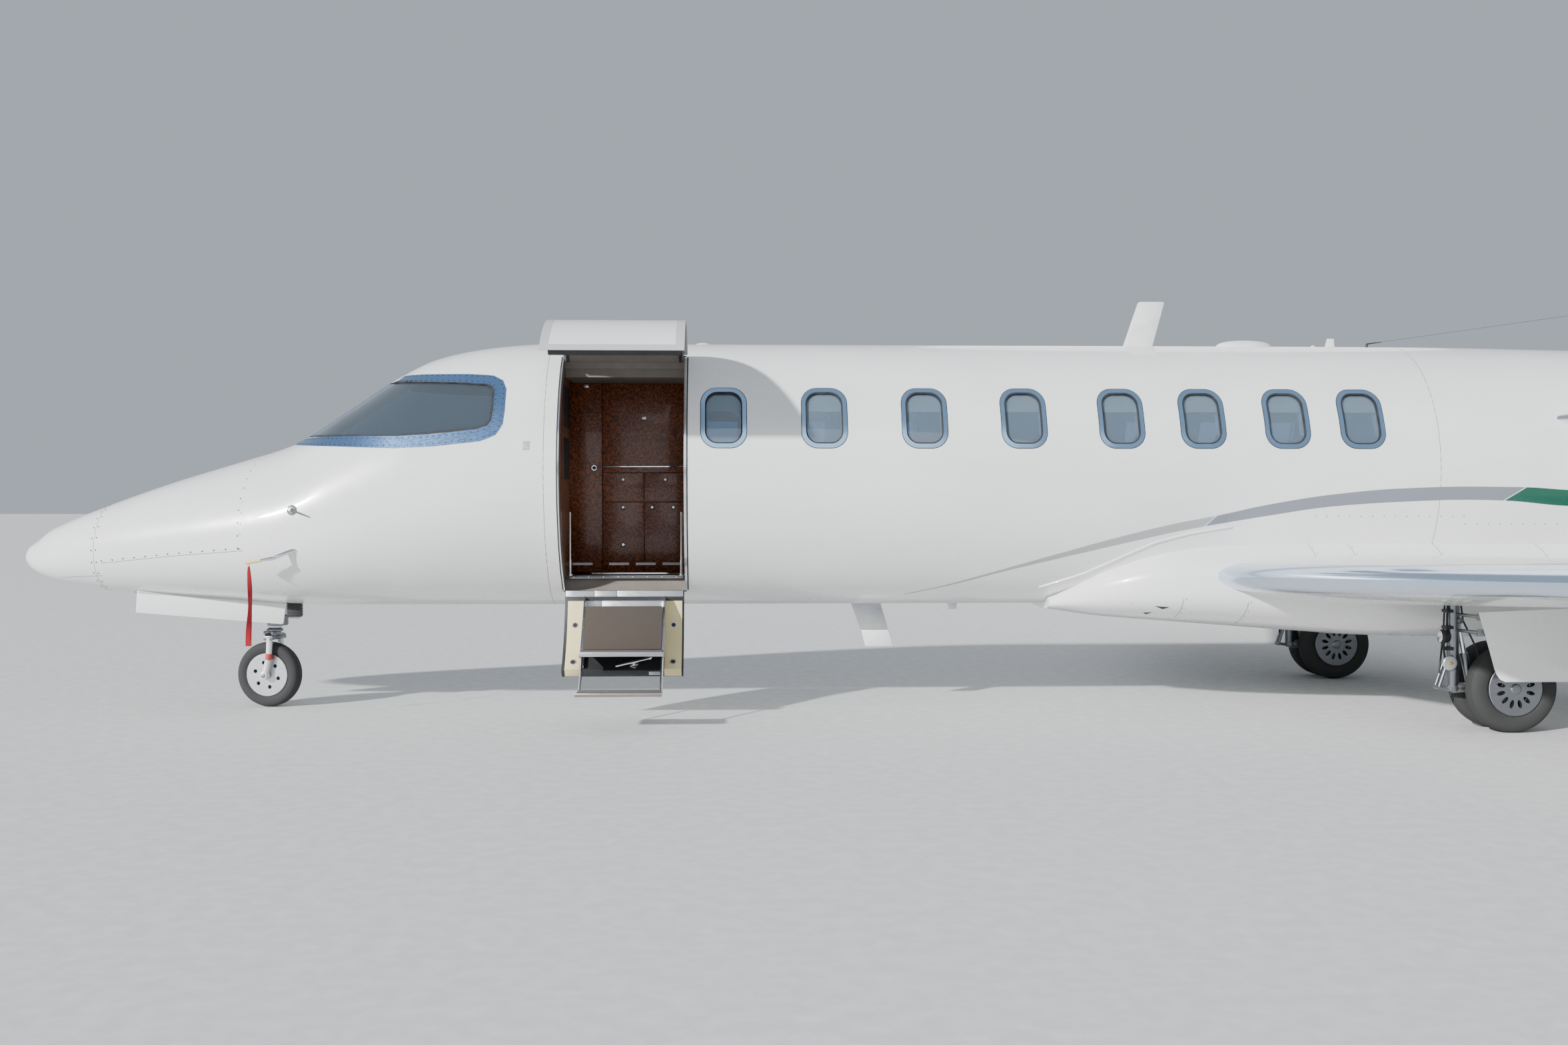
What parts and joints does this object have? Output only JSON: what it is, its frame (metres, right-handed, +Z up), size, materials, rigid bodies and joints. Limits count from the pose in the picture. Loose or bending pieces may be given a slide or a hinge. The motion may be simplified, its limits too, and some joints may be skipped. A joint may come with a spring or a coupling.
{
  "type": "business jet",
  "caption": "Light twin-engined business jet with a T-tail, parked on its gear, clamshell entry door open with its airstair down.",
  "frame": {"origin": "on the ground, half-way along the length, on the centre line", "axes": "+X aft along the fuselage, +Y to starboard, +Z up; the nose points to -X"},
  "size_m": [17.56, 14.5816, 4.3],
  "materials": {
    "white_paint": "gloss white enamel",
    "radome_white": "gloss white over glass fibre",
    "cream_panel": "cream enamel",
    "gear_enamel": "white enamel",
    "bare_metal": "polished",
    "engine_metal": "heat-stained",
    "fan_metal": "satin titanium",
    "dark_panel": "matt black",
    "tyre_rubber": "black rubber",
    "glass": "clear, slightly blue",
    "burl_wood": "gloss burl veneer",
    "seat_leather": "beige leather",
    "carpet": "short brown pile"
  },
  "bodies": {
    "airframe": {"aft_fuselage": "white_paint", "belly_aerial": "white_paint", "cabin_floor": "carpet", "cabin_glazing_port": "glass", "cabin_glazing_starboard": "glass", "cabin_seats_port": "seat_leather", "cabin_seats_starboard": "seat_leather", "cabin_shell": "white_paint", "cockpit_shell": "white_paint", "door_sill": "bare_metal", "engine_core_port": "engine_metal", "engine_core_starboard": "engine_metal", "fin": "white_paint", "galley_cabinet": "burl_wood", "instrument_panel": "dark_panel", "main_gear_door_port": "white_paint", "main_gear_door_starboard": "white_paint", "main_gear_leg_port": "gear_enamel", "main_gear_leg_starboard": "gear_enamel", "nacelle_port": "white_paint", "nacelle_starboard": "white_paint", "nose_gear_door_port": "white_paint", "nose_gear_door_starboard": "white_paint", "nose_gear_strut": "gear_enamel", "nose_section": "white_paint", "pilot_seats": "seat_leather", "pitot_probe_port": "bare_metal", "pitot_probe_starboard": "bare_metal", "pylon_port": "white_paint", "pylon_starboard": "white_paint", "radome": "radome_white", "stabiliser": "white_paint", "top_aerial": "white_paint", "windshield_port": "glass", "windshield_starboard": "glass", "wing_fairing": "white_paint", "wing_port": "white_paint", "wing_starboard": "white_paint"},
    "steering": {"nose_fork": "gear_enamel"},
    "nose_wheel": {"nose_rim": "bare_metal", "nose_tyre": "tyre_rubber"},
    "main_wheels_port": {"main_rims_port": "bare_metal", "main_tyre_port_outer": "tyre_rubber", "main_tyre_port_inner": "tyre_rubber"},
    "main_wheels_starboard": {"main_rims_starboard": "bare_metal", "main_tyre_starboard_outer": "tyre_rubber", "main_tyre_starboard_inner": "tyre_rubber"},
    "fan_rotor_port": {"fan_port": "fan_metal"},
    "fan_rotor_starboard": {"fan_starboard": "fan_metal"},
    "hatch": {"upper_hatch": "white_paint"},
    "airstair": {"lower_airstair": "cream_panel", "airstair_steps": "bare_metal"},
    "flap_panel_port": {"flap_port": "white_paint"},
    "flap_panel_starboard": {"flap_starboard": "white_paint"},
    "aileron_panel_port": {"aileron_port": "white_paint"},
    "aileron_panel_starboard": {"aileron_starboard": "white_paint"},
    "elevator_panel_port": {"elevator_port": "white_paint"},
    "elevator_panel_starboard": {"elevator_starboard": "white_paint"},
    "rudder_panel": {"rudder": "white_paint"}
  },
  "joints": [
    {"name": "nose_steer", "type": "hinge", "parent": "airframe", "child": "steering", "pos_m": [-7.065, 0, 0.5], "axis": [0, 0, 1], "range_deg": [-49, 71]},
    {"name": "nose_wheel_spin", "type": "hinge", "parent": "steering", "child": "nose_wheel", "pos_m": [-7.1023, 0.00725, 0.2285], "axis": [0.1908, 0.9816, 0], "continuous": true},
    {"name": "main_wheels_port_spin", "type": "hinge", "parent": "airframe", "child": "main_wheels_port", "pos_m": [1.07, -1.42, 0.2795], "axis": [0, 1, 0], "continuous": true},
    {"name": "main_wheels_starboard_spin", "type": "hinge", "parent": "airframe", "child": "main_wheels_starboard", "pos_m": [1.07, 1.42, 0.2795], "axis": [0, 1, 0], "continuous": true},
    {"name": "fan_port_spin", "type": "hinge", "parent": "airframe", "child": "fan_rotor_port", "pos_m": [2.315, -1.44, 1.985], "axis": [1, 0, 0], "continuous": true},
    {"name": "fan_starboard_spin", "type": "hinge", "parent": "airframe", "child": "fan_rotor_starboard", "pos_m": [2.315, 1.44, 1.985], "axis": [1, 0, 0], "continuous": true},
    {"name": "upper_hatch_hinge", "type": "hinge", "parent": "airframe", "child": "hatch", "pos_m": [-4.57, -0.44, 2.44061], "axis": [1, 0, 0], "range_deg": [0, 68]},
    {"name": "airstair_hinge", "type": "hinge", "parent": "airframe", "child": "airstair", "pos_m": [-4.57, -0.44, 0.8419], "axis": [1, 0, 0], "range_deg": [-112, 0]},
    {"name": "flap_port_hinge", "type": "hinge", "parent": "airframe", "child": "flap_panel_port", "pos_m": [1.6213, -1.13, 0.9544], "axis": [-0.0657, 0.9969, -0.0444], "range_deg": [0, 40]},
    {"name": "flap_starboard_hinge", "type": "hinge", "parent": "airframe", "child": "flap_panel_starboard", "pos_m": [1.6213, 1.13, 0.9544], "axis": [0.0657, 0.9969, 0.0444], "range_deg": [0, 40]},
    {"name": "aileron_port_hinge", "type": "hinge", "parent": "airframe", "child": "aileron_panel_port", "pos_m": [1.8383, -4.42, 1.1009], "axis": [-0.0658, 0.9968, -0.0443], "range_deg": [-20, 20]},
    {"name": "aileron_starboard_hinge", "type": "hinge", "parent": "airframe", "child": "aileron_panel_starboard", "pos_m": [1.8383, 4.42, 1.1009], "axis": [0.0658, 0.9968, 0.0443], "range_deg": [-20, 20]},
    {"name": "elevator_port_hinge", "type": "hinge", "parent": "airframe", "child": "elevator_panel_port", "pos_m": [7.7071, -0.13, 4.204], "axis": [-0.3054, 0.9522, 0], "range_deg": [-20, 15]},
    {"name": "elevator_starboard_hinge", "type": "hinge", "parent": "airframe", "child": "elevator_panel_starboard", "pos_m": [7.7071, 0.13, 4.204], "axis": [0.3054, 0.9522, 0], "range_deg": [-20, 15]},
    {"name": "rudder_hinge", "type": "hinge", "parent": "airframe", "child": "rudder_panel", "pos_m": [6.4039, 0, 2.56], "axis": [0.6214, 0, 0.7835], "range_deg": [-25, 25]}
  ],
  "couplings": [
    {"joint": "flap_starboard_hinge", "follows": "flap_port_hinge", "ratio": 1},
    {"joint": "aileron_starboard_hinge", "follows": "aileron_port_hinge", "ratio": -1},
    {"joint": "elevator_starboard_hinge", "follows": "elevator_port_hinge", "ratio": 1}
  ]
}
